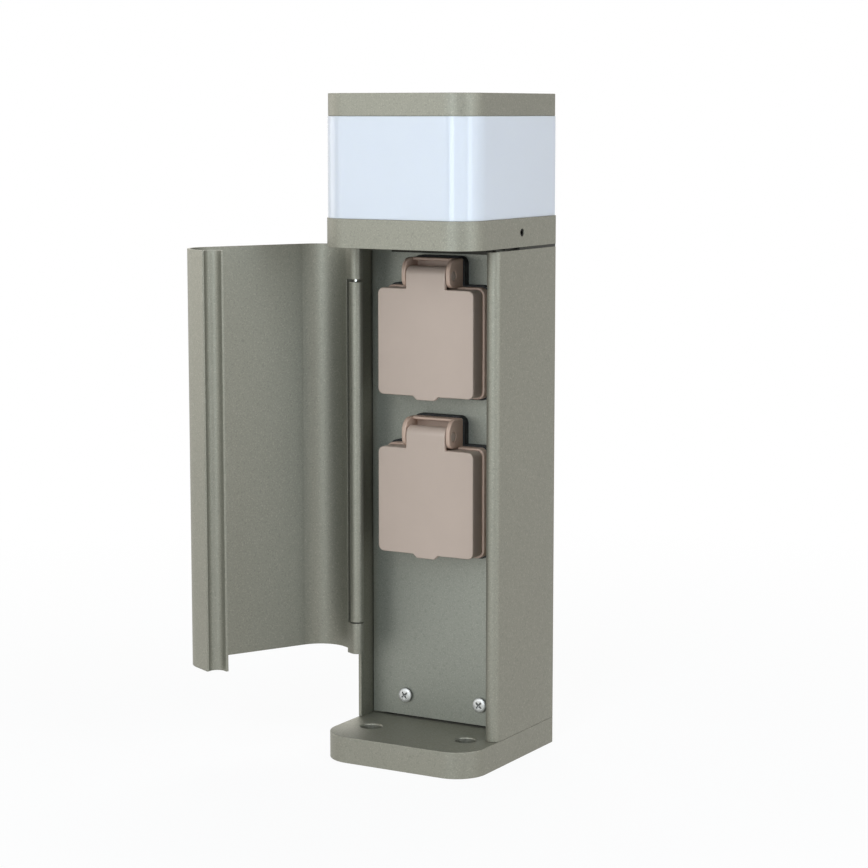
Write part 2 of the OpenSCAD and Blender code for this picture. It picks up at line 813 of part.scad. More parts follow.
// Flap lid: hollow box, pull tab below, tongue above that curls round the pin
module lid() {
    tab_root = 7.4;
    tab_tip = 5.2;
    tab_drop = 2;
    root = lid_round + over;
    pocket_w = 8.4;
    pocket_r = lid_pin_depth - 1;
    front_back = lid_y + lid_front;
    color(taupe) difference() {
        union() {
            difference() {
                soft_plate(lid_w, lid_h, lid_r, lid_y, lid_back, lid_round);
                along_y(front_back, lid_back + over)
                    rounded(lid_w - 2 * lid_wall, lid_h - 2 * lid_wall, lid_r - lid_wall * 0.75);
            }
            along_y(lid_y, front_back)
                polygon([[-tab_root, root - lid_h / 2], [-tab_root, -lid_h / 2],
                    [-tab_tip, -lid_h / 2 - tab_drop], [tab_tip, -lid_h / 2 - tab_drop],
                    [tab_root, -lid_h / 2], [tab_root, root - lid_h / 2]]);
            along_y(lid_y, front_back) translate([-tongue_w / 2, lid_h / 2 - root])
                square([tongue_w, lid_pin_rise + root]);
            rod_x(lid_pin_depth, -tongue_w / 2, tongue_w / 2, lid_pin_y, lid_pin_z);
        }
        rod_x(lid_pin_d / 2 + pin_fit, -tongue_w, tongue_w, lid_pin_y, lid_pin_z);
        rod_x(pocket_r, -pocket_w / 2, pocket_w / 2, lid_pin_y, lid_pin_z);
        translate([-pocket_w / 2, lid_pin_y, lid_pin_z - lid_pin_depth - over])
            cube([pocket_w, lid_pin_depth + over, lid_pin_depth + over + 1]);
    }
}

// Soft seal inside the lid's rim
module lid_seal() {
    w = lid_w - 2 * lid_wall - 0.4;
    h = lid_h - 2 * lid_wall - 0.4;
    seal_w = 1.6;
    color(black) along_y(lid_back - 2.2, lid_back - 0.1) difference() {
        rounded(w, h, 1.5);
        rounded(w - 2 * seal_w, h - 2 * seal_w, 0.6);
    }
}

// Lid pin with its round head in the right ear
module lid_pin() {
    head_t = 1;
    color(steel) {
        rod_x(lid_pin_d / 2, -ear_out + 0.6, ear_out - 0.6, lid_pin_y, lid_pin_z);
        rod_x(pin_head_r, ear_out - 0.2 - head_t, ear_out - 0.2, lid_pin_y, lid_pin_z);
    }
}

// Torsion spring wound on the lid pin
module lid_spring() {
    wire_r = 0.6;
    coil_r = 2.3;
    pitch = 1.15;
    turns = 5;
    span = (turns - 1) * pitch;
    color(steel) translate([0, lid_pin_y, lid_pin_z]) {
        translate([-span / 2, 0, 0]) rotate([0, 90, 0]) rotate_extrude() {
            for (k = [0 : turns - 1]) translate([coil_r, k * pitch]) circle(wire_r, $fn = 24);
        }
        translate([-span / 2, 0, -coil_r]) rotate([90, 0, 0]) cylinder(h = 2.2, r = wire_r, $fn = 24);
        translate([span / 2, 0, coil_r]) rotate([-90, 0, 0]) cylinder(h = 1.9, r = wire_r, $fn = 24);
    }
}

// Place of the upper socket's pieces (0) and the lower socket's pieces (1)
module at_socket(k) {
    translate([0, panel_y, socket_z[k]]) children();
}

// Head plate: tray on the column's top that the collar fits over, raised in front above the door
module head_plate() {
    slot_gap = 0.2;
    slot_wall = 1.5;
    color(metal) difference() {
        union() {
            along_z(column_top, head_floor) plan(plate_inset);
            along_z(column_top, collar_z1 - ledge_t) plan_ring(plate_inset, plate_inset + upstand_t);
            along_z(column_top, head_floor + tie_boss_h - plate_t) circle(tie_boss_r);
            translate([-bracket_w / 2, panel_y - slot_gap - slot_wall, column_top - panel_slot])
                cube([bracket_w, slot_wall, panel_slot + over]);
            translate([-bracket_w / 2, panel_back + slot_gap, column_top - 2 * panel_slot])
                cube([bracket_w, slot_wall, 2 * panel_slot + over]);
        }
        at_ports() {
            translate([0, 0, column_top - over])
                cylinder(h = plate_t + 2 * over, r = port_screw_r + 0.4);
            translate([0, 0, head_floor]) cylinder(h = collar_h, r = port_head_r + 0.5);
        }
        translate([0, 0, column_top - over]) {
            cylinder(h = tie_boss_h + 2 * over, r = tie_r + 0.3);
            cylinder(h = tie_head_h + 0.4 + over, r = tie_head_r + 0.3);
        }
        translate([0, lead_y, column_top - over]) cylinder(h = plate_t + 2 * over, r = lead_r);
        translate([-half_w, -half_d, column_top - over])
            cube([post_w, half_d + bead_y + wall_cut, plate_rise + over]);
        rod_x(set_screw_r + fit, -half_w, half_w, set_screw_y, set_screw_z);
    }
}

// Four screws through the head plate into the column's ports
module head_screws() {
    color(steel) at_ports() translate([0, 0, head_floor]) cross_screw(port_head_r, 2.4, port_screw_r, 16);
}

// Collar below the diffuser
module collar() {
    color(metal) difference() {
        along_z(collar_z0, collar_z1) plan();
        along_z(collar_z0 - over, collar_z1 - ledge_t) plan(collar_wall);
        along_z(collar_z0, collar_z1 + over) plan(ledge_inset);
        rod_x(set_screw_r + fit, -half_w - over, half_w + over, set_screw_y, set_screw_z);
    }
}

// Grub screws that lock the collar on the head plate
module set_screws() {
    length = 5;
    key_depth = 2;
    color(steel) for (s = [0, 1]) mirror([s, 0, 0]) difference() {
        rod_x(set_screw_r, half_w - 0.4 - length, half_w - 0.4, set_screw_y, set_screw_z);
        along_x(half_w - 0.4 - key_depth, half_w) translate([set_screw_y, set_screw_z])
            circle(r = 1.15, $fn = 6);
    }
}

// Seals inside the diffuser's two ends
module lower_seal() {
    color(black) along_z(collar_z1, collar_z1 + seal_t) plan_ring(seal_inset, ledge_inset - 1);
}

module upper_seal() {
    color(black) along_z(diffuser_z1 - seal_t, diffuser_z1) plan_ring(seal_inset, ledge_inset - 1);
}

// Opal diffuser
module diffuser() {
    color(opal) along_z(collar_z1, diffuser_z1)
        plan_ring(diffuser_inset, diffuser_inset + diffuser_wall);
}

// Top cap, hollow underneath, with a boss for the tie screw
module top_cap() {
    roof_t = 4;
    rim = 8;
    color(metal) difference() {
        along_z(diffuser_z1, cap_z1) plan(cap_inset);
        along_z(diffuser_z1 - over, cap_z1 - roof_t) difference() {
            plan(cap_inset + rim);
            circle(7);
        }
        along_z(diffuser_z1 - over, cap_z1 - roof_t) circle(tie_r + fit);
    }
}

// Long screw that clamps the cap and the diffuser to the head plate
module tie_screw() {
    z0 = column_top + 0.4;
    length = cap_z1 - 5 - z0 - tie_head_h;
    color(steel) translate([0, 0, z0 + tie_head_h]) rotate([180, 0, 0])
        socket_screw(tie_head_r, tie_head_h, tie_r, length);
}

// Heat block under the light board
module heat_block() {
    color([0.7, 0.7, 0.72]) along_z(head_floor, heat_top) difference() {
        circle(heat_r);
        circle(tie_boss_r + 0.3);
    }
}

// Round light board
module led_board() {
    color([0.92, 0.93, 0.92]) along_z(heat_top, heat_top + board_t) difference() {
        circle(board_r);
        circle(tie_r + 1);
    }
}

// Ring of light chips on the board
module led_chips() {
    chip = 3.5;
    color([0.98, 0.93, 0.6]) for (k = [0 : chip_count - 1]) rotate([0, 0, k * 360 / chip_count])
        translate([board_r - 8 - chip / 2, -chip / 2, heat_top + board_t]) cube([chip, chip, 1]);
}

// Driver on the column's back wall, behind the panel's top
module led_driver() {
    w = 56;
    d = 18;
    h = 17;
    z0 = column_top - 24;
    color(cream) difference() {
        translate([-w / 2, inner_back - d, z0]) cube([w, d, h]);
        for (s = [-1, 1]) translate([s * (w / 2 - 4), inner_back - d - over, z0 - over])
            translate([-1.5, 0, 0]) cube([3, 3 + over, h + 2 * over]);
    }
}

base_plate();
column();
column_screws();
cable_gland();
gland_nut();
panel_bracket();
bracket_screws();
socket_panel();
panel_screws();
terminal_block();
terminal_screws();
earth_stud();
upper_hinge_pin();
lower_hinge_pin();
door();
at_socket(0) gasket();  // upper_gasket
at_socket(0) frame();  // upper_frame
at_socket(0) socket_cup();  // upper_socket_cup
at_socket(0) socket_block();  // upper_socket_block
at_socket(0) shutter();  // upper_shutter
at_socket(0) contacts();  // upper_contacts
at_socket(0) yoke();  // upper_yoke
at_socket(0) socket_screws();  // upper_socket_screws
at_socket(0) lid();  // upper_lid
at_socket(0) lid_seal();  // upper_lid_seal
at_socket(0) lid_pin();  // upper_lid_pin
at_socket(0) lid_spring();  // upper_lid_spring
at_socket(1) gasket();  // lower_gasket
at_socket(1) frame();  // lower_frame
at_socket(1) socket_cup();  // lower_socket_cup
at_socket(1) socket_block();  // lower_socket_block
at_socket(1) shutter();  // lower_shutter
at_socket(1) contacts();  // lower_contacts
at_socket(1) yoke();  // lower_yoke
at_socket(1) socket_screws();  // lower_socket_screws
at_socket(1) lid();  // lower_lid
at_socket(1) lid_seal();  // lower_lid_seal
at_socket(1) lid_pin();  // lower_lid_pin
at_socket(1) lid_spring();  // lower_lid_spring
head_plate();
head_screws();
collar();
set_screws();
lower_seal();
diffuser();
upper_seal();
top_cap();
tie_screw();
heat_block();
led_board();
led_chips();
led_driver();
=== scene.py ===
"""Garden lamp post with two flap-lid sockets behind a hinged door.

The lids, socket frames, panel screws and the head plate's rim are made here as surfaces. Base plate,
column, cap and diffuser are copies of their CAD nodes with softened edges. Every other node keeps
its mesh and gets a finish. Lengths in the formulas are in millimetres, and every mesh is stored in
metres.
"""

import math

import bmesh
import bpy
import numpy as np
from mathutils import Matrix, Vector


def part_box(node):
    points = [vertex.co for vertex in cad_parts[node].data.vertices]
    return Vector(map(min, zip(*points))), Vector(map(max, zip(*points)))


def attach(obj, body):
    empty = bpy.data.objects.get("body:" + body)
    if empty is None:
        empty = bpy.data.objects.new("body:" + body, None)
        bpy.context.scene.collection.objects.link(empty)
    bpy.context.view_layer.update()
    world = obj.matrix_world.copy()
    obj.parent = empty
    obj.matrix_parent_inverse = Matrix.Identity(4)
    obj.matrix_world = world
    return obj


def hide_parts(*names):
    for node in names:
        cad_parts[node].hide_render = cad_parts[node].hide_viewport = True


bl_info = {
    "name": "Garden lamp post",
    "version": (1, 0, 0),
    "blender": (4, 5, 0),
    "location": "View3D > Sidebar > Lamp post",
    "description": "Finishes and fine-edged pieces for a garden lamp post with sockets",
    "category": "Add Mesh",
}

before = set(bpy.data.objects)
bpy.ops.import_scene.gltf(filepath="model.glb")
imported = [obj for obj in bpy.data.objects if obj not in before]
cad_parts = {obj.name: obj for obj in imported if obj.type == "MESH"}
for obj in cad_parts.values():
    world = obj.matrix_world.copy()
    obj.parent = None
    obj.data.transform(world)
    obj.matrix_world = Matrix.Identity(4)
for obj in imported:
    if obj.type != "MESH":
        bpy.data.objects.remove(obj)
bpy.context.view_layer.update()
SOCKETS = ("upper", "lower")
PER_METRE = 1000
# Points this far inside a rounded edge keep the shading of the face within them flat
FACE_MARGIN = 0.12
# Edges of made pieces are sharp from the first angle, and those of softened nodes from the second
SHARP_FROM = math.radians(35)
SOFTENED_FROM = math.radians(30)


def mm(length):
    """A length of the settings in millimetres."""
    return length * PER_METRE


def mm_box(node):
    """Lowest and highest corner of a node, in millimetres."""
    low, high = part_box(node)
    return np.array(low) * PER_METRE, np.array(high) * PER_METRE


def pin_axis(socket):
    """Y and Z of the pin that a socket's lid turns on."""
    low, high = mm_box(f"{socket}_lid_pin")
    return (low[1:] + high[1:]) / 2


def both(*names):
    """Node names of the upper and the lower socket."""
    return [f"{socket}_{name}" for socket in SOCKETS for name in names]


def srgb(red, green, blue):
    """Linear colour of an 8-bit sRGB colour."""
    value = np.array([red, green, blue]) / 255
    linear = np.where(value <= 0.04045, value / 12.92, ((value + 0.055) / 1.055) ** 2.4)
    return tuple(float(v) for v in linear)


# Outlines and shells


def round_corners(points, radii, steps=8):
    """Closed outline through the points, each corner replaced by a tangent arc.

    With u and v the unit vectors to the neighbours and p the angle between them, the arc's centre
    lies r / sin(p / 2) along u + v, and the arc turns from centre to P + u r / tan(p / 2) round to
    P + v r / tan(p / 2) by spherical interpolation over the angle pi - p.
    """
    points = np.asarray(points, float)
    radii = np.broadcast_to(np.asarray(radii, float), len(points))[:, None]
    back = np.roll(points, 1, axis=0) - points
    ahead = np.roll(points, -1, axis=0) - points
    u = back / np.linalg.norm(back, axis=1, keepdims=True)
    v = ahead / np.linalg.norm(ahead, axis=1, keepdims=True)
    half = np.arccos(np.clip((u * v).sum(axis=1, keepdims=True), -1, 1)) / 2
    middle = (u + v) / np.linalg.norm(u + v, axis=1, keepdims=True)
    centre = points + middle * radii / np.sin(half)
    first = points + u * radii / np.tan(half) - centre
    last = points + v * radii / np.tan(half) - centre
    turn = (np.pi - 2 * half)[:, :, None]
    s = np.linspace(0, 1, steps)[None, :, None]
    arc = (first[:, None] * np.sin((1 - s) * turn) + last[:, None] * np.sin(s * turn)) / np.sin(turn)
    return (centre[:, None] + arc).reshape(-1, 2)


def rectangle(left, bottom, right, top, radii, steps=8):
    """Rounded rectangle, anticlockwise from its lower left corner."""
    return round_corners([(left, bottom), (right, bottom), (right, top), (left, top)], radii, steps)


def finer(outline, spacing):
    """The same closed outline with points added along its long edges: positions are interpolated
    over the arc length at the outline's own points and at even steps of about the spacing."""
    closed = np.vstack([outline, outline[:1]])
    run = np.concatenate([[0], np.cumsum(np.linalg.norm(np.diff(closed, axis=0), axis=1))])
    even = np.linspace(0, run[-1], int(run[-1] / spacing) + 1)
    gap = np.abs(even[:, None] - run[None, :]).min(axis=1)
    where = np.sort(np.concatenate([run[:-1], even[gap > 0.2 * spacing]]))
    return np.stack([np.interp(where, run, closed[:, 0]), np.interp(where, run, closed[:, 1])], axis=1)


def inset_rings(outline, insets):
    """The outline moved inwards by each inset: P - d m, where m is the mitred outward normal
    (n1 + n2) / (1 + n1.n2) of the two edges that meet at P. The outline runs anticlockwise."""
    edge = np.roll(outline, -1, axis=0) - outline
    edge /= np.linalg.norm(edge, axis=1, keepdims=True)
    ahead = np.stack([edge[:, 1], -edge[:, 0]], axis=1)
    behind = np.roll(ahead, 1, axis=0)
    mitre = (ahead + behind) / (1 + (ahead * behind).sum(axis=1, keepdims=True))
    return outline[None] - np.asarray(insets, float)[:, None, None] * mitre[None]


def circles_facing(outline, centre, radii):
    """Circles of the radii round a centre, each with one point towards every point of the
    outline: C + r (P - C) / |P - C|."""
    spoke = outline - centre
    spoke /= np.linalg.norm(spoke, axis=1, keepdims=True)
    return spoke * np.reshape(radii, (-1, 1, 1)) + centre


def quarter(radius, steps=5):
    """Insets and depths of a quarter round: (r (1 - sin t), r (1 - cos t)) for t from 0 to 90."""
    t = np.linspace(0, np.pi / 2, steps)
    return np.stack([radius * (1 - np.sin(t)), radius * (1 - np.cos(t))], axis=1)


def slab_profile(depth, front_edge, back_edge=0.0):
    """Insets and depths from the front face over its rounded edge and down the side to the back,
    which is square or has a rounded edge too."""
    rows = [[[front_edge + FACE_MARGIN, 0]], quarter(front_edge)]
    if back_edge:
        back = quarter(back_edge)[::-1]
        rows += [[0, depth] + back * (1, -1), [[back_edge + FACE_MARGIN, depth]]]
    else:
        rows += [[[0, depth]]]
    return np.vstack(rows)


def ramp(value, end, width):
    """Falls from 1 to 0 in a straight line over the last width before end."""
    return np.clip((end - value) / width, 0, 1)


def place(rings, depths, plane, start=0.0, sign=1):
    """Rings of plane points (a, b) with a depth each, as points in space. Plane "xz" lays them in
    X and Z with depth along Y, "yz" in Y and Z with depth along X, and "xy" in X and Y along Z."""
    depth = np.broadcast_to((start + sign * np.asarray(depths, float))[:, None], rings.shape[:2])
    a, b = rings[..., 0], rings[..., 1]
    order = {"xz": (a, depth, b), "yz": (depth, a, b), "xy": (a, b, depth)}[plane]
    return np.stack(order, axis=-1)


def shell(grid, closed=False):
    """Points and blocks of faces of rings of points, each ring joined to the next by four-sided
    faces. An open shell gets a flat face at both ends, and a closed one joins its last ring to its
    first. Faces are turned round where the volume comes out negative: the sum of a.(b x c) over
    the triangles of each face's fan, with a, b and c taken from the middle."""
    rings, around = grid.shape[:2]
    index = np.arange(rings * around).reshape(rings, around)
    lower = index if closed else index[:-1]
    upper = np.roll(index, -1, axis=0) if closed else index[1:]
    quads = np.stack([lower, np.roll(lower, -1, axis=1), np.roll(upper, -1, axis=1), upper], axis=-1)
    blocks = [quads.reshape(-1, 4)]
    if not closed:
        blocks += [index[:1, ::-1], index[-1:]]
    points = grid.reshape(-1, 3)
    from_middle = points - points.mean(axis=0)
    volume = 0.0
    for block in blocks:
        corner = from_middle[block]
        volume += (corner[:, :1] * np.cross(corner[:, 1:-1], corner[:, 2:])).sum()
    if volume < 0:
        blocks = [block[:, ::-1] for block in blocks]
    return points, blocks


def bar(outline, ends, plane):
    """Shell of an outline carried straight along the plane's depth between two ends."""
    return shell(place(inset_rings(outline, [0, 0]), ends, plane))


def turned(profile, centre, axis, steps=48):
    """Shell of a closed profile of (along, radius) points turned about an axis through centre:
    at angle t the point stands along the axis and radius (cos t, sin t) across it."""
    t = np.linspace(0, 2 * np.pi, steps, endpoint=False)[:, None]
    along = np.broadcast_to(profile[:, 0], (steps, len(profile)))
    first = profile[:, 1] * np.cos(t)
    second = profile[:, 1] * np.sin(t)
    order = {"x": (along, first, second), "y": (first, along, second), "z": (first, second, along)}
    return shell(np.stack(order[axis], axis=-1) + np.asarray(centre, float), closed=True)


# Pieces from meshes


def add_piece(name, mesh, material, body, replaced, sharp_from):
    """Object of a mesh, riding on a body and standing for the replaced nodes, if any."""
    mesh.shade_smooth()
    mesh.set_sharp_from_angle(angle=sharp_from)
    mesh.materials.clear()
    mesh.materials.append(material)
    piece = bpy.data.objects.new(name, mesh)
    bpy.context.scene.collection.objects.link(piece)
    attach(piece, body)
    if replaced:
        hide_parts(*replaced)
    return piece


def mesh_of(name, shells):
    """One mesh of all the shells, each block of faces counted on from the shells before it."""
    starts = np.cumsum([0] + [len(points) for points, _ in shells])
    points = np.vstack([points for points, _ in shells]) / PER_METRE
    faces = []
    for (_, blocks), start in zip(shells, starts):
        for block in blocks:
            faces += (block + start).tolist()
    mesh = bpy.data.meshes.new(name)
    mesh.from_pydata(points.tolist(), [], faces)
    return mesh


def add_shells(name, shells, material, body, replaced):
    """One piece of all the shells."""
    add_piece(name, mesh_of(name, shells), material, body, replaced, SHARP_FROM)


def softened(node, body, material, width_mm):
    """Copy of a node with rounded edges: its loose triangles are joined, flat faces are made
    whole, and a Bevel modifier rounds what is left of the edges."""
    joined_within, flat_within = 2e-6, math.radians(0.6)
    work = bmesh.new()
    work.from_mesh(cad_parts[node].data)
    bmesh.ops.remove_doubles(work, verts=work.verts, dist=joined_within)
    bmesh.ops.dissolve_limit(work, angle_limit=flat_within, verts=work.verts, edges=work.edges)
    mesh = bpy.data.meshes.new(f"{node}_fine")
    work.to_mesh(mesh)
    work.free()
    piece = add_piece(f"{node}_fine", mesh, material, body, [node], SOFTENED_FROM)
    edges = piece.modifiers.new("soft edges", "BEVEL")
    edges.width = width_mm / PER_METRE
    edges.segments = 3
    edges.limit_method = "ANGLE"
    edges.angle_limit = SOFTENED_FROM
    edges.use_clamp_overlap = False
    edges.harden_normals = True


def dress(material, *nodes):
    """Gives CAD nodes a finish by their material slots."""
    for node in nodes:
        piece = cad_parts[node]
        for slot in piece.material_slots:
            slot.material = material
        if not piece.material_slots:
            piece.data.materials.append(material)


# Finishes


class Nodes:
    """The node tree of a material or the world, filled one node at a time."""

    def __init__(self, owner):
        owner.use_nodes = True
        self.tree = owner.node_tree
        self.tree.nodes.clear()

    def put(self, socket, value):
        """Sets a socket, or links another node's output to it."""
        if isinstance(value, bpy.types.NodeSocket):
            self.tree.links.new(value, socket)
        else:
            socket.default_value = value

    def add(self, kind, settings=None, **inputs):
        """A new node with its settings and inputs; _ in an input's name stands for a space."""
        node = self.tree.nodes.new(kind)
        for key, value in (settings or {}).items():
            setattr(node, key, value)
        for key, value in inputs.items():
            self.put(node.inputs[key.replace("_", " ")], value)
        return node

    def span(self, value, low, high, to_low, to_high):
        """Value carried from low..high to to_low..to_high, held at the ends."""
        node = self.add("ShaderNodeMapRange", Value=value, From_Min=low, From_Max=high,
                        To_Min=to_low, To_Max=to_high)
        return node.outputs["Result"]

    def calculate(self, operation, first, second):
        """Result of an operation on two numbers."""
        node = self.add("ShaderNodeMath", {"operation": operation})
        self.put(node.inputs[0], first)
        self.put(node.inputs[1], second)
        return node.outputs[0]

    def blend(self, factor, first, second):
        """Shader between first and second by factor."""
        node = self.add("ShaderNodeMixShader")
        for socket, value in zip(node.inputs, (factor, first, second)):
            self.put(socket, value)
        return node.outputs[0]

    def background_rays(self):
        """1 for the rays that show the background: those of the camera, of gloss and through
        glass."""
        path = self.add("ShaderNodeLightPath")
        total = path.outputs["Is Camera Ray"]
        for kind in ("Is Glossy Ray", "Is Transmission Ray"):
            total = self.calculate("MAXIMUM", total, path.outputs[kind])
        return total


class Finish(Nodes):
    """The node tree of one finish, built around a single Principled shader."""

    def __init__(self, name):
        self.material = bpy.data.materials.new(name)
        super().__init__(self.material)
        output = self.add("ShaderNodeOutputMaterial")
        self.shader = self.add("ShaderNodeBsdfPrincipled")
        self.put(output.inputs["Surface"], self.shader.outputs["BSDF"])
        self.where = self.add("ShaderNodeTexCoord").outputs["Object"]

    def set(self, **inputs):
        """Sets or links the Principled shader's own sockets."""
        for key, value in inputs.items():
            self.put(self.shader.inputs[key.replace("_", " ")], value)

    def stretched(self, x, y, z):
        """Object coordinates scaled along each axis, for streaks."""
        return self.add("ShaderNodeMapping", Vector=self.where, Scale=(x, y, z)).outputs["Vector"]

    def noise(self, scale, detail=2.0, where=None):
        """Noise between 0 and 1; scale is in patches per metre."""
        node = self.add("ShaderNodeTexNoise", Vector=where or self.where, Scale=scale, Detail=detail)
        return node.outputs["Fac"]

    def patches(self, scale, detail, low=0.3, high=0.7, most=1.0):
        """Patches of noise: 0 where it is under low, and most where it is over high."""
        return self.span(self.noise(scale, detail), low, high, 0, most)

    def mix(self, factor, first, second):
        """Colour between first and second by factor."""
        node = self.add("ShaderNodeMix", {"data_type": "RGBA"})
        self.put(node.inputs[0], factor)
        for socket, colour in ((node.inputs[6], first), (node.inputs[7], second)):
            if not isinstance(colour, bpy.types.NodeSocket):
                colour = (*colour[:3], 1)
            self.put(socket, colour)
        return node.outputs[2]

    def roughen(self, noise, low, high):
        """Roughness between low and high by a noise."""
        self.set(Roughness=self.span(noise, 0.3, 0.7, low, high))

    def emboss(self, height, depth_mm, edge_mm=0.0):
        """A relief of the given depth, over edges that look rounded by the given radius."""
        bump = self.add("ShaderNodeBump", Height=height, Strength=1.0, Distance=depth_mm / PER_METRE)
        if edge_mm:
            soft = self.add("ShaderNodeBevel", {"samples": 6}, Radius=edge_mm / PER_METRE)
            self.put(bump.inputs["Normal"], soft.outputs["Normal"])
        self.set(Normal=bump.outputs["Normal"])


def scaled(colour, factor):
    """A colour made lighter or darker."""
    return tuple(min(1.0, c * factor) for c in colour[:3])


def powder_coat(name, colour, look, edge_mm=0.0):
    """Sintered metallic powder: a cloudy ground, fine light and dark flecks, orange-peel relief."""
    f = Finish(name)
    ground = f.mix(f.patches(14, 3), scaled(colour, 0.97), scaled(colour, 1.03))
    light = f.patches(1500, 1, low=0.55, high=0.72, most=look.sparkle)
    dark = f.patches(1100, 1, low=0.56, high=0.75, most=0.8 * look.sparkle)
    flecked = f.mix(light, ground, scaled(colour, 1.6))
    f.set(Base_Color=f.mix(dark, flecked, scaled(colour, 0.55)))
    f.roughen(f.noise(900), look.roughness - 0.04, look.roughness + 0.05)
    f.set(Metallic=look.metallic, Specular_IOR_Level=look.gloss)
    f.emboss(f.noise(1200), depth_mm=mm(look.relief), edge_mm=edge_mm)
    return f.material


def moulded_plastic(name, colour, roughness=0.42, edge_mm=0.2):
    """Moulded plastic with a spark-eroded grain and a slight flow mottle."""
    f = Finish(name)
    flow = f.mix(f.patches(45, 3), scaled(colour, 0.975), scaled(colour, 1.02))
    specks = f.patches(2600, 1, low=0.62, high=0.8, most=0.25)
    f.set(Base_Color=f.mix(specks, flow, scaled(colour, 0.85)))
    f.roughen(f.noise(1600), roughness - 0.05, roughness + 0.06)
    f.emboss(f.noise(2300), depth_mm=0.01, edge_mm=edge_mm)
    return f.material


def soft_rubber(name, colour):
    """Dull moulded rubber with bloom in patches."""
    f = Finish(name)
    bloom = f.patches(160, 4, low=0.45, high=0.75, most=0.5)
    f.set(Base_Color=f.mix(bloom, colour, scaled(colour, 2.2)))
    f.roughen(f.noise(700), 0.6, 0.78)
    f.emboss(f.noise(1800, 3), depth_mm=0.015)
    return f.material


def bright_metal(name, colour, roughness, along=(1, 1, 1)):
    """Plated or bare metal with fine turning or drawing streaks along one axis."""
    f = Finish(name)
    streak = f.noise(900, 3, f.stretched(*along))
    f.set(Base_Color=f.mix(f.span(streak, 0.35, 0.65, 0, 1), scaled(colour, 0.9), colour))
    f.roughen(streak, roughness - 0.06, roughness + 0.08)
    f.set(Metallic=1.0)
    f.emboss(streak, depth_mm=0.004, edge_mm=0.12)
    return f.material


def screw_zinc(name, colour, face, seat):
    """Dull zinc of a screw head, bare on its face and darkened with painted shade in the cross
    and under the rim, by the distance of a point behind the face."""
    f = Finish(name)
    unshaded_to, shade_full_from = face + 0.4, 0.35 * face + 0.65 * seat
    apart = f.add("ShaderNodeSeparateXYZ", Vector=f.where)
    # Painted shade: behind the face the zinc turns towards a near-black copy of itself, in the cross
    # recess and under the rim
    painted_shade = f.span(apart.outputs["Y"], unshaded_to / PER_METRE, shade_full_from / PER_METRE, 0, 0.85)
    grain = f.noise(1500, 3)
    bare_zinc = f.mix(f.span(grain, 0.35, 0.65, 0, 1), scaled(colour, 0.94), colour)
    f.set(Base_Color=f.mix(painted_shade, bare_zinc, scaled(colour, 0.12)), Metallic=0.8)
    f.roughen(grain, 0.46, 0.58)
    f.emboss(grain, depth_mm=0.004)
    return f.material


def opal(name, colour, gloss):
    """Opal acrylic: milky under a polished skin, with a faint cloud in the milk."""
    f = Finish(name)
    f.set(Base_Color=f.mix(f.patches(22, 3), scaled(colour, 0.985), colour))
    f.roughen(f.noise(60), gloss, gloss + 0.03)
    f.set(Subsurface_Weight=0.15, Subsurface_Radius=(0.004, 0.004, 0.005), Subsurface_Scale=1.0)
    f.set(IOR=1.43)
    return f.material


def light_board(name, colour):
    """Lacquer over copper tracks that run round the middle as faint ridges."""
    f = Finish(name)
    wave = f.add("ShaderNodeTexWave", {"wave_type": "RINGS", "rings_direction": "Z"},
                 Vector=f.where, Scale=120.0, Distortion=0.6)
    track = f.span(wave.outputs["Fac"], 0.55, 0.7, 0, 1)
    f.set(Base_Color=f.mix(track, colour, scaled(colour, 0.88)))
    f.roughen(f.noise(500), 0.3, 0.4)
    f.emboss(track, depth_mm=0.03)
    return f.material


# Settings


def colour_of(name, text, default):
    """A colour property."""
    return bpy.props.FloatVectorProperty(
        name=name, description=text, subtype="COLOR", size=3, min=0, max=1, default=default)


def length_of(name, text, default, low, high):
    """A length property, written in millimetres and kept in metres."""
    return bpy.props.FloatProperty(
        name=name, description=text, subtype="DISTANCE", unit="LENGTH", precision=5,
        default=default / PER_METRE, min=low / PER_METRE, max=high / PER_METRE)


def share_of(name, text, default, low=0.0, high=1.0):
    """A property without a unit, between low and high."""
    return bpy.props.FloatProperty(
        name=name, description=text, subtype="FACTOR", default=default, min=low, max=high)


def angle_of(name, text, default):
    """An angle property, written in degrees."""
    return bpy.props.FloatProperty(
        name=name, description=text, subtype="ANGLE", default=math.radians(default))


def power_of(name, text, default):
    """A light's power in watts."""
    return bpy.props.FloatProperty(name=name, description=text, unit="POWER", min=0, default=default)


class CoatSettings(bpy.types.PropertyGroup):
    metal_colour: colour_of("Coating", "Powder coating of the post and the door", srgb(135, 133, 121))
    panel_colour: colour_of("Panel", "Powder coating of the socket panel", srgb(140, 141, 131))
    # Painted shade: the head plate's near-black colour stands for the shadowed gap between column and
    # collar
    plate_painted_shade: colour_of("Head plate", "Dark coating of the head plate", srgb(58, 57, 52))
    sparkle: share_of("Sparkle", "How strongly the flakes in the powder show", 0.42)
    roughness: share_of("Roughness", "Roughness of the coating", 0.5)
    gloss: share_of("Gloss", "Gloss of the clear powder over the flakes", 0.3)
    metallic: share_of("Metallic", "Share of metal flake in the coating", 0.75)
    relief: length_of("Relief", "Depth of the powder's orange-peel relief", 0.022, 0, 0.1)
    edge: length_of("Edge", "Rounding of the cut edges under the coating", 0.35, 0.05, 1)


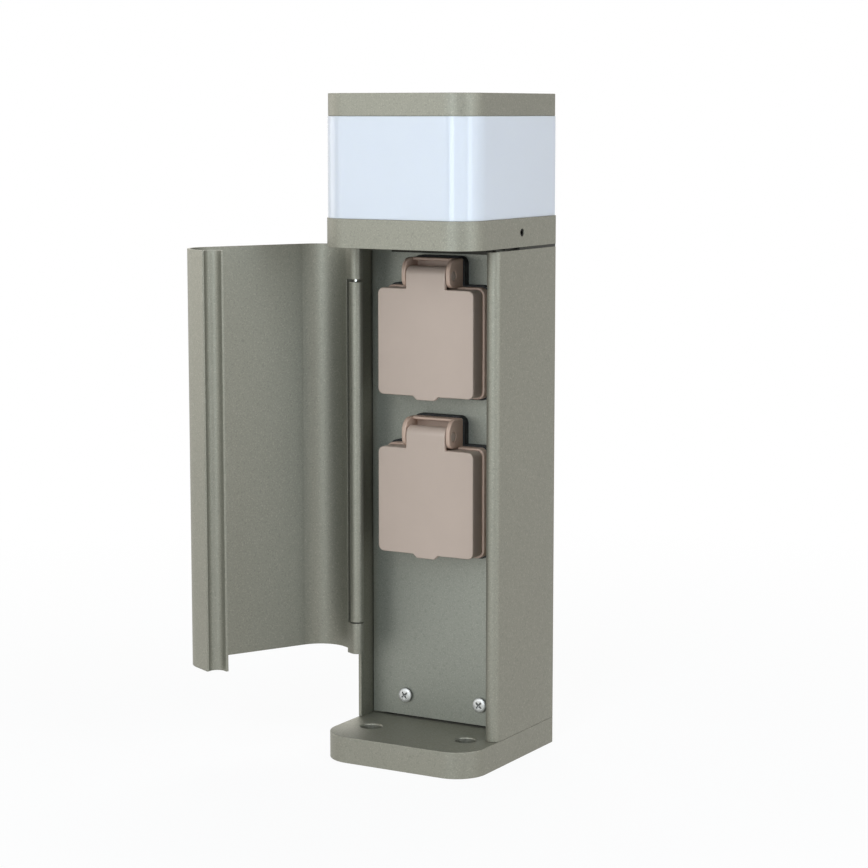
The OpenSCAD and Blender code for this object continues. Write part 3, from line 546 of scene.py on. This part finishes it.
class LidSettings(bpy.types.PropertyGroup):
    colour: colour_of("Lid plastic", "Plastic of the lids and cups", srgb(191, 169, 153))
    frame_colour: colour_of("Frame plastic", "Plastic of the frames and ears", srgb(196, 166, 146))
    edge: length_of("Lid edge", "Radius of a lid's outer edges", 0.55, 0.2, 1.5)
    wall: length_of("Lid wall", "Wall of a lid's rim", 2.0, 1, 3)
    front: length_of("Lid front", "Thickness of a lid's front", 2.2, 1, 3)
    corner: length_of("Lid corner", "Corner radius of a lid", 3.2, 1, 6)
    tongue: length_of("Tongue width", "Width of the tongue that curls round the pin", 22.9, 15, 26)
    ear_edge: length_of("Ear edge", "Radius of the hinge ears' edges", 0.5, 0.1, 1)


class ScrewSettings(bpy.types.PropertyGroup):
    steel: colour_of("Steel", "Zinc-plated screws and pins", srgb(226, 226, 222))
    brass: colour_of("Brass", "Contacts and clamping screws", srgb(214, 182, 98))
    black: colour_of("Blackened steel", "Panel bracket, and darker the set screws", srgb(54, 53, 50))
    head: colour_of("Screw head", "Dull zinc of the panel screws' heads", srgb(216, 215, 211))
    spread: share_of("Head spread", "Head width as a share of the plain screw's", 1.1, 1, 1.3)
    recess: length_of("Cross depth", "Depth of the screws' cross recess", 1.4, 0.4, 2)
    turn: angle_of("Cross turn", "How far the left cross is turned", 40)


class InsideSettings(bpy.types.PropertyGroup):
    rubber: colour_of("Rubber", "Gaskets and seals", srgb(22, 22, 22))
    block: colour_of("Socket block", "Plastic of the socket blocks", srgb(34, 34, 34))
    shutter: colour_of("Shutter", "Plastic of the shutters", srgb(224, 218, 200))
    gland: colour_of("Cable gland", "Plastic of the cable gland and its nut", srgb(30, 30, 30))
    terminal: colour_of("Terminal block", "Plastic of the terminal block", srgb(226, 221, 205))
    driver: colour_of("Lamp driver", "Housing of the lamp driver", srgb(232, 232, 228))


class LampSettings(bpy.types.PropertyGroup):
    opal_colour: colour_of("Opal", "Milky acrylic of the diffuser", srgb(225, 226, 231))
    gloss: share_of("Skin roughness", "Roughness of the diffuser's skin", 0.07)
    edge: length_of("Diffuser edge", "Rounding of the diffuser's edges", 0.3, 0.05, 1)
    board_colour: colour_of("Board", "Lacquer of the light board", srgb(238, 240, 238))
    chip_colour: colour_of("Chips", "Phosphor of the light chips", srgb(244, 214, 110))
    block_colour: colour_of("Heat block", "Cast aluminium of the heat block", srgb(205, 206, 208))


class StageSettings(bpy.types.PropertyGroup):
    lens: bpy.props.FloatProperty(
        name="Lens", description="Focal length for a 36 mm frame", unit="CAMERA", default=99.17)
    place: bpy.props.FloatVectorProperty(
        name="Camera place", description="Where the camera stands", subtype="TRANSLATION",
        unit="LENGTH", size=3, precision=5, default=(0.611356, -1.061126, 0.332404))
    azimuth: angle_of("Azimuth", "Camera's turn to the right of the front", 30.03)
    tilt: angle_of("Tilt", "Camera's look downwards", 7.659)
    ambient: share_of("Ambient", "Strength of the light from all round", 0.02, 0, 2)
    strips: power_of("Strip boxes", "Power of the left of the two tall strip boxes", 8.6)
    key: power_of("Key light", "Power of the large soft light", 8.4)
    left: power_of("Left light", "Power of the light on the left side", 8.0)
    top: power_of("Top light", "Power of the light high on the right", 4.2)
    back: power_of("Back light", "Power of the light high behind", 20.0)
    side: power_of("Side light", "Power of the light on the right side", 2.0)


# Pieces


class Maker(bpy.types.Operator):
    """Shared base of the operators that make the pieces"""

    bl_options = {"REGISTER", "UNDO"}

    @property
    def coat(self):
        return bpy.context.scene.lamp_post_coat

    @property
    def lid(self):
        return bpy.context.scene.lamp_post_lid

    @property
    def screw(self):
        return bpy.context.scene.lamp_post_screw

    @property
    def inside(self):
        return bpy.context.scene.lamp_post_inside

    @property
    def lamp(self):
        return bpy.context.scene.lamp_post_lamp


class LAMPPOST_OT_coated_metal(Maker):
    """Coats the base, column, door, panel, collar and cap, adds the head plate's rim, and colours the
    head plate and its rim near black as painted shade for the gap under the collar
    """

    bl_idname = "lamppost.coated_metal"
    bl_label = "Coated metal"

    def rim_shell(self):
        """Rim of the head plate between column and collar: a slab of a rounded rectangle that
        stands a little inside the column's outline, from the panel back, clear of the door."""
        margin, gap, corner = 0.45, 0.05, 0.5
        low, high = mm_box("column")
        front = mm_box("socket_panel")[0][1]
        ceiling = mm_box("collar")[0][2]
        outline = rectangle(
            low[0] + margin, front, high[0] - margin, high[1] - margin, corner, steps=6)
        return bar(outline, [high[2] + gap, ceiling - gap], "xy")

    def execute(self, context):
        edge = mm(self.coat.edge)
        metal = powder_coat("powder_coat", self.coat.metal_colour, self.coat)
        for node in ("base_plate", "column", "top_cap"):
            softened(node, "post", metal, edge)
        dress(powder_coat("soft_edge_coat", self.coat.metal_colour, self.coat, edge), "door", "collar")
        dress(powder_coat("panel_coat", self.coat.panel_colour, self.coat), "socket_panel")
        # Painted shade: the head plate and the rim added below get a near-black coat that stands for
        # the shadowed gap under the collar
        dark = powder_coat("gap_shade_coat", self.coat.plate_painted_shade, self.coat)
        dress(dark, "head_plate")
        add_shells("head_plate_rim", [self.rim_shell()], dark, "post", [])
        return {"FINISHED"}


class LAMPPOST_OT_lids(Maker):
    """Makes the two flap lids with their pull tabs and curled tongues"""

    bl_idname = "lamppost.lids"
    bl_label = "Flap lids"

    def front_plate(self, low, half, bottom, top, tongue_top):
        """Shell of the front: one outline of lid, pull tab and tongue with a quarter-round edge.
        The left half of the outline is the right half in a mirror."""
        tab_foot, tab_root = 5.2, 7.4
        tab_corner, tab_bend, tongue_bend, tongue_corner = 0.9, 0.5, 0.35, 0.8
        corner, tongue = mm(self.lid.corner), mm(self.lid.tongue) / 2
        right = np.array([
            (tab_foot, low[2]), (tab_root, bottom), (half, bottom), (half, top),
            (tongue, top), (tongue, tongue_top)])
        radii = [tab_corner, tab_bend, corner, corner, tongue_bend, tongue_corner]
        outline = round_corners(np.vstack([right, right[::-1] * (-1, 1)]), radii + radii[::-1])
        profile = slab_profile(mm(self.lid.front), mm(self.lid.edge))
        return shell(place(inset_rings(outline, profile[:, 0]), profile[:, 1], "xz", low[1]))

    def rim(self, outline, face, deep):
        """Shell of the rim, a closed wall: from the front plate back along the outside, round the
        back edge by three points on each side, and along the inside down to a fillet."""
        wall, front = mm(self.lid.wall), mm(self.lid.front)
        back_edge, fillet = 0.3, 0.9
        bend = back_edge * np.array([[0, 1], [0.3, 0.3], [1, 0]])
        rows = np.vstack([
            [[0, front]],
            [0, deep] + bend * (1, -1),
            [wall, deep] - bend[::-1],
            [wall, front] + quarter(fillet)[::-1],
        ])
        return shell(place(inset_rings(outline, rows[:, 0]), rows[:, 1], "xz", face), closed=True)

    def curl(self, pin, radius):
        """Shells of the tongue's curl round the pin: two turned ends, and between them a thin web
        along an arc over the top and back, which leaves room for the spring."""
        middle, bore, web = 4.2, 1.3, 1.0
        web_start, web_end = 58, 270
        tongue = mm(self.lid.tongue) / 2
        profile = np.vstack([
            [[middle, bore], [middle, radius]],
            [tongue, radius] - quarter(mm(self.lid.edge)),
            [[tongue, bore]],
        ])
        ends = [turned(profile * [side, 1], (0, *pin), "x", steps=72) for side in (-1, 1)]
        t = np.radians(np.linspace(web_start, web_end, 30))
        arc = np.stack([np.cos(t), np.sin(t)], axis=1)
        section = np.vstack([arc * radius, arc[::-1] * (radius - web)]) + pin
        return [*ends, bar(section, [-middle, middle], "yz")]

    def lid_shells(self, socket):
        """Shells of one lid: its front plate, its rim and the curl of its tongue."""
        height, tab, tongue_rise = 55.0, 2.0, 0.3
        low, high = mm_box(f"{socket}_lid")
        pin = pin_axis(socket)
        half, bottom, top = high[0], low[2] + tab, low[2] + tab + height
        outline = rectangle(-half, bottom, half, top, mm(self.lid.corner), steps=10)
        return [
            self.front_plate(low, half, bottom, top, pin[1] + tongue_rise),
            self.rim(outline, low[1], high[1] - low[1]),
            *self.curl(pin, pin[0] - low[1]),
        ]

    def execute(self, context):
        plastic = moulded_plastic("lid_plastic", self.lid.colour, edge_mm=0)
        for socket in SOCKETS:
            node = f"{socket}_lid"
            add_shells(f"{node}_fine", self.lid_shells(socket), plastic, node, [node])
        return {"FINISHED"}


class LAMPPOST_OT_socket_frames(Maker):
    """Makes the socket frames with their hinge ears and the bridge over them"""

    bl_idname = "lamppost.socket_frames"
    bl_label = "Socket frames"

    def flange(self, low, high, face):
        """Shell of the flange: a closed ring from its back over the rounded front edge of the
        outline to the chamfer and wall of the round hole."""
        height, corner, hole = 57.0, 4.2, 20.8
        edge, margin, chamfer, hole_margin = 0.6, 0.8, 0.4, 0.5
        half, depth = high[0], high[1] - face
        outline = rectangle(-half, low[2], half, low[2] + height, corner, steps=10)
        outline = finer(outline, spacing=1.5)
        rounding = quarter(edge)[::-1]
        rings = inset_rings(outline, [0, *rounding[:, 0], margin])
        circles = circles_facing(
            outline, (0, low[2] + height / 2), (hole + hole_margin, hole + chamfer, hole, hole))
        depths = [depth, *rounding[:, 1], 0, 0, 0, chamfer, depth]
        return shell(place(np.concatenate([rings, circles]), depths, "xz", face), closed=True)

    def ears(self, front, back, top, pin, inner):
        """Shells of the two ears: closed rings between a D outline and the pin's hole, which is
        wide at the outside of the right ear for the pin's head."""
        height, thick, bore, seat_bottom, chamfer = 14.8, 2.4, 1.35, 1.2, 0.15
        left_seat, right_seat = 1.4, 2.62
        low_front, rear, high_front = 4.4, 0.9, 7.0
        edge = mm(self.lid.ear_edge)
        corners = [low_front, rear, rear, high_front]
        outline = finer(rectangle(front, top - height, back, top, corners, steps=12), spacing=0.6)
        profile = slab_profile(thick, edge, edge)
        rings = inset_rings(outline, profile[:, 0])
        depths = [*profile[:, 1], thick, thick - chamfer, seat_bottom, seat_bottom, 0]
        shells = []
        for side, seat in ((-1, left_seat), (1, right_seat)):
            circles = circles_facing(outline, pin, (seat + chamfer, seat, seat, bore, bore))
            grid = place(np.concatenate([rings, circles]), depths, "yz", side * inner, side)
            shells.append(shell(grid, closed=True))
        return shells

    def frame_shells(self, socket):
        """Shells of one frame: the flange, the ears, and from ear to ear the bridge and the wall
        behind it."""
        lid_gap, tongue_gap, sunk = 0.2, 0.35, 0.3
        bridge_back, bridge_thick, lip, crease = 8.0, 1.5, 0.6, 0.1
        wall_thick, wall_foot, wall_drop = 2.0, 56.0, 0.2
        low, high = mm_box(f"{socket}_frame")
        front, back, top = low[1], high[1], high[2]
        face = mm_box(f"{socket}_lid")[1][1] + lid_gap
        inner = mm(self.lid.tongue) / 2 + tongue_gap
        ends = [-inner - sunk, inner + sunk]
        bridge = rectangle(
            front + bridge_back, top - bridge_thick, back, top, [lip, crease, crease, lip])
        wall = rectangle(back - wall_thick, low[2] + wall_foot, back, top - wall_drop, crease)
        return [
            self.flange(low, high, face),
            *self.ears(front, back, top, pin_axis(socket), inner),
            bar(bridge, ends, "yz"),
            bar(wall, ends, "yz"),
        ]

    def execute(self, context):
        plastic = moulded_plastic("frame_plastic", self.lid.frame_colour, edge_mm=0)
        for socket in SOCKETS:
            node = f"{socket}_frame"
            shells = self.frame_shells(socket)
            add_shells(f"{node}_fine", shells, plastic, "post", [node])
        return {"FINISHED"}


class LAMPPOST_OT_socket_inserts(Maker):
    """Finishes the cups, blocks, shutters, contacts and seals of the sockets"""

    bl_idname = "lamppost.socket_inserts"
    bl_label = "Socket inserts"

    def execute(self, context):
        dress(moulded_plastic("cup_plastic", self.lid.colour, 0.38), *both("socket_cup"))
        dress(moulded_plastic("block_plastic", self.inside.block, 0.45), *both("socket_block"))
        dress(moulded_plastic("shutter_plastic", self.inside.shutter, 0.4), *both("shutter"))
        dress(bright_metal("contact_brass", self.screw.brass, 0.25, (1, 0.1, 1)), *both("contacts"))
        rubber = soft_rubber("black_rubber", self.inside.rubber)
        dress(rubber, *both("gasket", "lid_seal"), "lower_seal", "upper_seal")
        return {"FINISHED"}


class LAMPPOST_OT_panel_screws(Maker):
    """Makes the two pan-head screws at the panel's foot"""

    bl_idname = "lamppost.panel_screws"
    bl_label = "Panel screws"

    def head(self, centre, radius, height, turn):
        """Shell of a head as a height over polar coordinates, with r, x and y as shares of its
        radius: a flat dome h sqrt(1 - (0.9 r)^5) less a cross recess. The recess is where |x| or
        |y| is under the arm's half width, or r under the well's radius, with ramps for its sides,
        and it gets shallower outwards. Three last rows turn in under the rim."""
        dome, flatness, shallower = 0.9, 5, 0.55
        arm_half, arm_side, arm_end, end_side = 0.13, 0.04, 0.56, 0.06
        well, well_side = 0.22, 0.06
        over_cross, beyond = np.linspace(0.02, 0.62, 32), np.linspace(0.66, 1, 14)
        r = np.concatenate([over_cross, beyond])[:, None]
        t = np.linspace(0, 2 * np.pi, 144, endpoint=False)[None, :]
        x = np.abs(r * np.cos(t - turn))
        y = np.abs(r * np.sin(t - turn))
        arms = ramp(np.minimum(x, y), arm_half, arm_side) * ramp(np.maximum(x, y), arm_end, end_side)
        cut = np.maximum(arms, ramp(r, well, well_side)) * (1 - shallower * r)
        rise = height * np.sqrt(np.clip(1 - (dome * r) ** flatness, 0, 1)) - mm(self.screw.recess) * cut
        under = np.array([[1.0, 0.35], [0.98, 0.2], [0.93, 0.0]])
        r = np.vstack([r, under[:, :1]])
        rise = np.vstack([rise, np.broadcast_to(height * under[:, 1:], (len(under), t.size))])
        return shell(np.stack([
            centre[0] + radius * r * np.cos(t),
            centre[1] - rise,
            centre[2] + radius * r * np.sin(t)], axis=-1))

    def shank(self, centre):
        """Shell of the shank, turned from the panel's front backwards."""
        length, radius, core = 8.0, 2.0, 0.2
        profile = np.array([[0, core], [0, radius], [length, radius], [length, core]])
        return turned(profile, centre, "y", steps=24)

    def execute(self, context):
        right_turn = math.radians(9)
        low, high = mm_box("panel_screws")
        radius = (high[2] - low[2]) / 2
        seat = mm_box("socket_panel")[0][1]
        zinc = screw_zinc("zinc_steel", self.screw.head, low[1], seat)
        shells = []
        for side, extra in ((-1, 0.0), (1, right_turn)):
            centre = (side * (high[0] - radius), seat, (low[2] + high[2]) / 2)
            width, turn = radius * self.screw.spread, self.screw.turn + extra
            shells += [self.head(centre, width, seat - low[1], turn), self.shank(centre)]
        add_shells("panel_screws_fine", shells, zinc, "post", ["panel_screws"])
        return {"FINISHED"}


class LAMPPOST_OT_fastenings(Maker):
    """Finishes the hidden screws, set screws, pins, springs, yokes and the panel's bracket"""

    bl_idname = "lamppost.fastenings"
    bl_label = "Fastenings"

    def execute(self, context):
        steel, black = self.screw.steel, self.screw.black
        drawn, wound = (1, 1, 0.05), (0.1, 1, 1)
        dress(bright_metal("zinc_fastenings", steel, 0.3), "column_screws", "bracket_screws",
              "head_screws", "tie_screw", *both("socket_screws"))
        dress(bright_metal("blackened_screws", scaled(black, 0.5), 0.45), "set_screws")
        dress(bright_metal("rolled_zinc", scaled(steel, 0.92), 0.36, drawn), *both("yoke"))
        dress(bright_metal("blackened_steel", black, 0.5, drawn), "panel_bracket")
        dress(bright_metal("drawn_pins", steel, 0.2, drawn), "upper_hinge_pin", "lower_hinge_pin")
        dress(moulded_plastic("pin_plastic", scaled(self.lid.colour, 0.9), 0.4), *both("lid_pin"))
        dress(bright_metal("spring_steel", scaled(steel, 0.8), 0.25, wound), *both("lid_spring"))
        return {"FINISHED"}


class LAMPPOST_OT_wiring(Maker):
    """Finishes the cable gland, terminal block, earth stud and lamp driver"""

    bl_idname = "lamppost.wiring"
    bl_label = "Wiring"

    def execute(self, context):
        inside = self.inside
        dress(moulded_plastic("gland_plastic", inside.gland, 0.42), "cable_gland", "gland_nut")
        dress(moulded_plastic("terminal_plastic", inside.terminal, 0.4), "terminal_block")
        dress(bright_metal("terminal_brass", self.screw.brass, 0.3), "terminal_screws", "earth_stud")
        dress(moulded_plastic("driver_plastic", inside.driver, 0.45), "led_driver")
        return {"FINISHED"}


class LAMPPOST_OT_lamp(Maker):
    """Finishes the opal diffuser, light board, chips and heat block"""

    bl_idname = "lamppost.lamp"
    bl_label = "Lamp"

    def execute(self, context):
        milk = opal("opal_acrylic", self.lamp.opal_colour, self.lamp.gloss)
        softened("diffuser", "post", milk, mm(self.lamp.edge))
        dress(light_board("light_board_lacquer", self.lamp.board_colour), "led_board")
        dress(moulded_plastic("chip_phosphor", self.lamp.chip_colour, 0.35), "led_chips")
        dress(bright_metal("cast_aluminium", self.lamp.block_colour, 0.45), "heat_block")
        return {"FINISHED"}


class LAMPPOST_OT_stage(Maker):
    """Makes the floor, lights, world and camera"""

    bl_idname = "lamppost.stage"
    bl_label = "Stage"

    def floor_finish(self):
        """Matt white under the lights, and plain white for the rays that show the background: a
        little less of it near the post, where its shadow falls, and none under its foot."""
        near, far, near_share, foot = 0.2, 0.7, 0.93, 0.0385
        material = bpy.data.materials.new("floor_white")
        nodes = Nodes(material)
        output = nodes.add("ShaderNodeOutputMaterial")
        where = nodes.add("ShaderNodeTexCoord").outputs["Object"]
        reach = nodes.add("ShaderNodeVectorMath", {"operation": "LENGTH"}, Vector=where)
        share = nodes.span(reach.outputs["Value"], near, far, near_share, 1)
        away = nodes.add("ShaderNodeVectorMath", {"operation": "ABSOLUTE"}, Vector=where)
        apart = nodes.add("ShaderNodeSeparateXYZ", Vector=away.outputs["Vector"])
        wider = nodes.calculate("MAXIMUM", apart.outputs["X"], apart.outputs["Y"])
        beside = nodes.calculate("GREATER_THAN", wider, foot)
        shown = nodes.calculate("MULTIPLY", nodes.background_rays(), share)
        shown = nodes.calculate("MULTIPLY", shown, beside)
        matt = nodes.add("ShaderNodeBsdfDiffuse", Color=(0.9, 0.9, 0.9, 1))
        glow = nodes.add("ShaderNodeEmission")
        surface = nodes.blend(shown, matt.outputs["BSDF"], glow.outputs["Emission"])
        nodes.put(output.inputs["Surface"], surface)
        return material

    def floor(self):
        """A flat disc: points (r cos t, r sin t, 0) of one ring, with a rim just below it."""
        radius, thick, drop = 6000, 5, 0.2
        t = np.linspace(0, 2 * np.pi, 96, endpoint=False)
        ring = np.stack([np.cos(t), np.sin(t)], axis=1) * radius
        mesh = mesh_of("floor", [shell(place(np.stack([ring, ring]), [0, thick], "xy", -drop, -1))])
        mesh.materials.append(self.floor_finish())
        floor = bpy.data.objects.new("floor", mesh)
        bpy.context.scene.collection.objects.link(floor)

    def world(self, ambient):
        """White for the rays that show the background, and a softer light on the object."""
        world = bpy.data.worlds.new("studio")
        nodes = Nodes(world)
        output = nodes.add("ShaderNodeOutputWorld")
        soft = nodes.add("ShaderNodeBackground", Color=(0.97, 0.98, 1.0, 1), Strength=ambient)
        white = nodes.add("ShaderNodeBackground", Color=(1, 1, 1, 1), Strength=1.0)
        surface = nodes.blend(
            nodes.background_rays(), soft.outputs["Background"], white.outputs["Background"])
        nodes.put(output.inputs["Surface"], surface)
        bpy.context.scene.world = world

    def lamp_at(self, name, azimuth, distance, height, size, power, tint=(1, 1, 1)):
        """An area light that stands at an azimuth to the right of the front, some metres away and
        high, and faces the middle of the post."""
        middle = 0.2
        data = bpy.data.lights.new(name, "AREA")
        data.color = tint
        data.shape = "RECTANGLE"
        data.size, data.size_y = size
        data.energy = power
        lamp = bpy.data.objects.new(name, data)
        turn = math.radians(azimuth)
        lamp.location = (distance * math.sin(turn), -distance * math.cos(turn), height)
        lamp.rotation_euler = (math.pi / 2 - math.atan2(height - middle, distance), 0, turn)
        bpy.context.scene.collection.objects.link(lamp)

    def lamps(self, look):
        """Two tall strips that the post's round right corner mirrors, soft boxes in front, at the
        sides and high on the right, and a light high behind."""
        strip, right_share = (0.4, 1.4), 0.76
        blue, cool = (0.86, 1.0, 1.12), (0.94, 1.0, 1.04)
        self.lamp_at("strip_left", 11.2, 1.3, 0.7, strip, look.strips, blue)
        self.lamp_at("strip_right", 74, 1.3, 0.7, strip, look.strips * right_share, blue)
        self.lamp_at("key", -32, 1.8, 0.6, (1.4, 1.2), look.key, cool)
        self.lamp_at("left", -84, 1.8, 0.7, (1.0, 1.4), look.left)
        self.lamp_at("top_right", 85, 1.2, 1.5, (1.0, 1.0), look.top)
        self.lamp_at("back", 205, 1.6, 1.7, (1.6, 1.0), look.back)
        self.lamp_at("side", 93, 1.6, 0.65, (0.5, 1.3), look.side)

    def camera(self, look):
        """The camera at its place, level from side to side."""
        data = bpy.data.cameras.new("camera")
        data.sensor_width = 36.0
        data.lens = look.lens
        data.clip_end = 50.0
        camera = bpy.data.objects.new("camera", data)
        camera.location = look.place
        camera.rotation_euler = (math.pi / 2 - look.tilt, 0, look.azimuth)
        bpy.context.scene.collection.objects.link(camera)
        bpy.context.scene.camera = camera

    def execute(self, context):
        look = context.scene.lamp_post_stage
        self.floor()
        self.world(look.ambient)
        self.lamps(look)
        self.camera(look)
        context.scene.view_settings.view_transform = "Standard"
        return {"FINISHED"}


SETTINGS = {
    "lamp_post_coat": CoatSettings,
    "lamp_post_lid": LidSettings,
    "lamp_post_screw": ScrewSettings,
    "lamp_post_inside": InsideSettings,
    "lamp_post_lamp": LampSettings,
    "lamp_post_stage": StageSettings,
}
STEPS = (
    LAMPPOST_OT_coated_metal,
    LAMPPOST_OT_lids,
    LAMPPOST_OT_socket_frames,
    LAMPPOST_OT_socket_inserts,
    LAMPPOST_OT_panel_screws,
    LAMPPOST_OT_fastenings,
    LAMPPOST_OT_wiring,
    LAMPPOST_OT_lamp,
    LAMPPOST_OT_stage,
)


class LAMPPOST_PT_panel(bpy.types.Panel):
    """Shows the settings, and lists the steps in the order in which they are run"""

    bl_label = "Garden lamp post"
    bl_idname = "LAMPPOST_PT_panel"
    bl_space_type = "VIEW_3D"
    bl_region_type = "UI"
    bl_category = "Lamp post"

    def draw(self, context):
        for name, kind in SETTINGS.items():
            group = getattr(context.scene, name)
            box = self.layout.box()
            for key in kind.__annotations__:
                box.prop(group, key)
        for step in STEPS:
            self.layout.operator(step.bl_idname)


def register():
    for name, group in SETTINGS.items():
        bpy.utils.register_class(group)
        setattr(bpy.types.Scene, name, bpy.props.PointerProperty(type=group))
    for step in (*STEPS, LAMPPOST_PT_panel):
        bpy.utils.register_class(step)


def unregister():
    for step in (LAMPPOST_PT_panel, *reversed(STEPS)):
        bpy.utils.unregister_class(step)
    for name, group in SETTINGS.items():
        delattr(bpy.types.Scene, name)
        bpy.utils.unregister_class(group)


def main():
    register()
    for step in STEPS:
        group, name = step.bl_idname.split(".")
        getattr(getattr(bpy.ops, group), name)()


if __name__ == "__main__":
    main()
